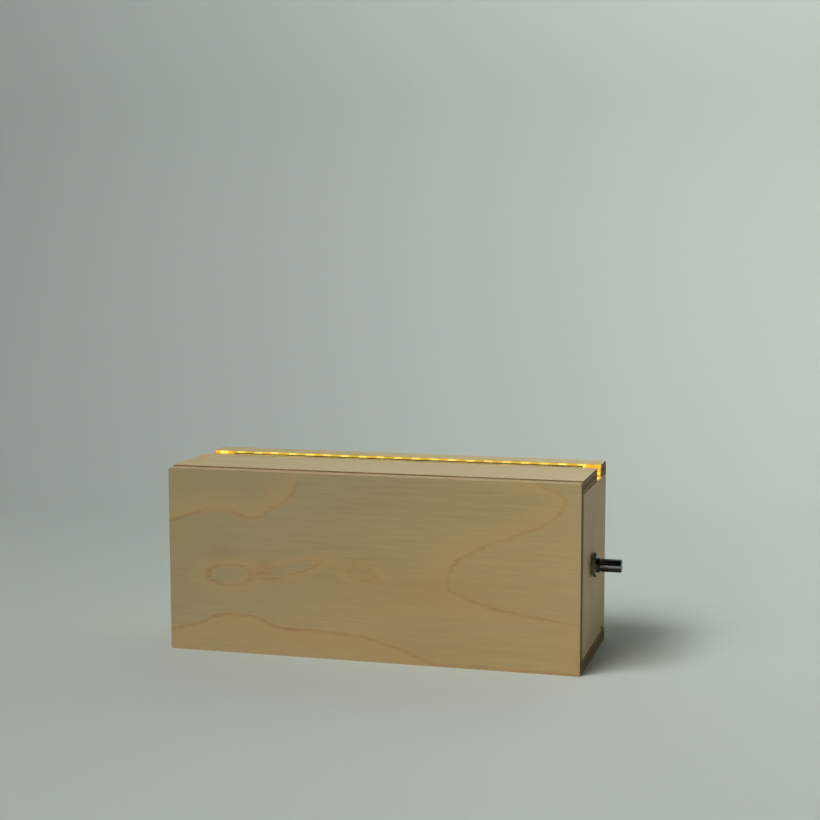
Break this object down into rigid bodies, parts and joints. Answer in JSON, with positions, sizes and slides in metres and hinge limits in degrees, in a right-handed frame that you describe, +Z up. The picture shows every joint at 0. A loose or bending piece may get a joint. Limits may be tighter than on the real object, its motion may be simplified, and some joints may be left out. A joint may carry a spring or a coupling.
{
  "type": "hand crank music box",
  "caption": "Plain plywood music box with a glowing slot along its top and a splined shaft on the right that turns a pinned cylinder under a comb.",
  "frame": {"origin": "middle of the case's underside, on the surface it stands on", "axes": "+X to the right along the case and out along the crank shaft, +Y from the front panel to the back, +Z up"},
  "size_m": [0.2086, 0.07, 0.0869],
  "materials": {
    "front_birch": "satin",
    "birch_ply": "satin",
    "pine": "matte",
    "zinc_screw": "satin",
    "blued_screw": "satin",
    "black_shaft": "satin",
    "dark_nickel": "satin",
    "spring_steel": "satin",
    "comb_steel": "satin",
    "nickel_plate": "gloss",
    "gear_brass": "satin",
    "cylinder_brass": "gloss",
    "cast_zinc": "satin",
    "ground_steel": "gloss",
    "tape_gold": "satin",
    "lamp_amber": "gloss",
    "solder_gold": "gloss",
    "wire_black": "satin",
    "wire_red": "satin",
    "holder_plastic": "matte",
    "cell_jacket": "gloss",
    "switch_metal": "satin",
    "switch_plastic": "matte"
  },
  "bodies": {
    "case": {"front_panel": "front_birch", "bottom_board": "birch_ply", "side_panel_right": "birch_ply", "side_panel_left": "birch_ply", "back_panel": "birch_ply", "top_front_board": "birch_ply", "top_rear_strip": "birch_ply", "back_posts": "pine", "back_panel_screws": "zinc_screw", "shaft_bushing": "black_shaft", "bushing_washer": "dark_nickel", "bushing_nut": "dark_nickel", "comb": "comb_steel", "comb_base": "cast_zinc", "comb_screws": "blued_screw", "bedplate": "cast_zinc", "bedplate_screws": "zinc_screw", "bracket_right": "cast_zinc", "bracket_left": "cast_zinc", "bracket_screws": "zinc_screw", "light_tape": "tape_gold", "light_tape_lamps": "lamp_amber", "light_tape_pads": "solder_gold", "tape_wire_negative": "wire_black", "tape_wire_positive": "wire_red", "switch_wire": "wire_red", "battery_holder": "holder_plastic", "battery_cells": "cell_jacket", "battery_contacts": "nickel_plate", "battery_springs": "nickel_plate", "battery_holder_screws": "zinc_screw", "switch_body": "switch_metal", "switch_screws": "zinc_screw"},
    "crank": {"crank_shaft": "black_shaft", "crank_pinion": "gear_brass", "pinion_grub_screw": "blued_screw", "shaft_clip": "spring_steel"},
    "cylinder": {"cylinder_tube": "cylinder_brass", "cylinder_pins": "ground_steel", "cylinder_end_discs": "cylinder_brass", "cylinder_arbor": "ground_steel", "cylinder_gear": "gear_brass"},
    "switch_knob": {"switch_slider": "switch_plastic"}
  },
  "joints": [
    {"name": "cylinder_spin", "type": "hinge", "parent": "case", "child": "cylinder", "pos_m": [0.032, -0.003, 0.0249], "axis": [1, 0, 0], "continuous": true},
    {"name": "crank_spin", "type": "hinge", "parent": "case", "child": "crank", "pos_m": [0.0975, -0.003, 0.0441], "axis": [1, 0, 0], "continuous": true},
    {"name": "switch_slide", "type": "slide", "parent": "case", "child": "switch_knob", "axis": [1, 0, 0], "range_m": [0, 0.004]}
  ],
  "couplings": [
    {"joint": "crank_spin", "follows": "cylinder_spin", "ratio": -2.4286}
  ]
}
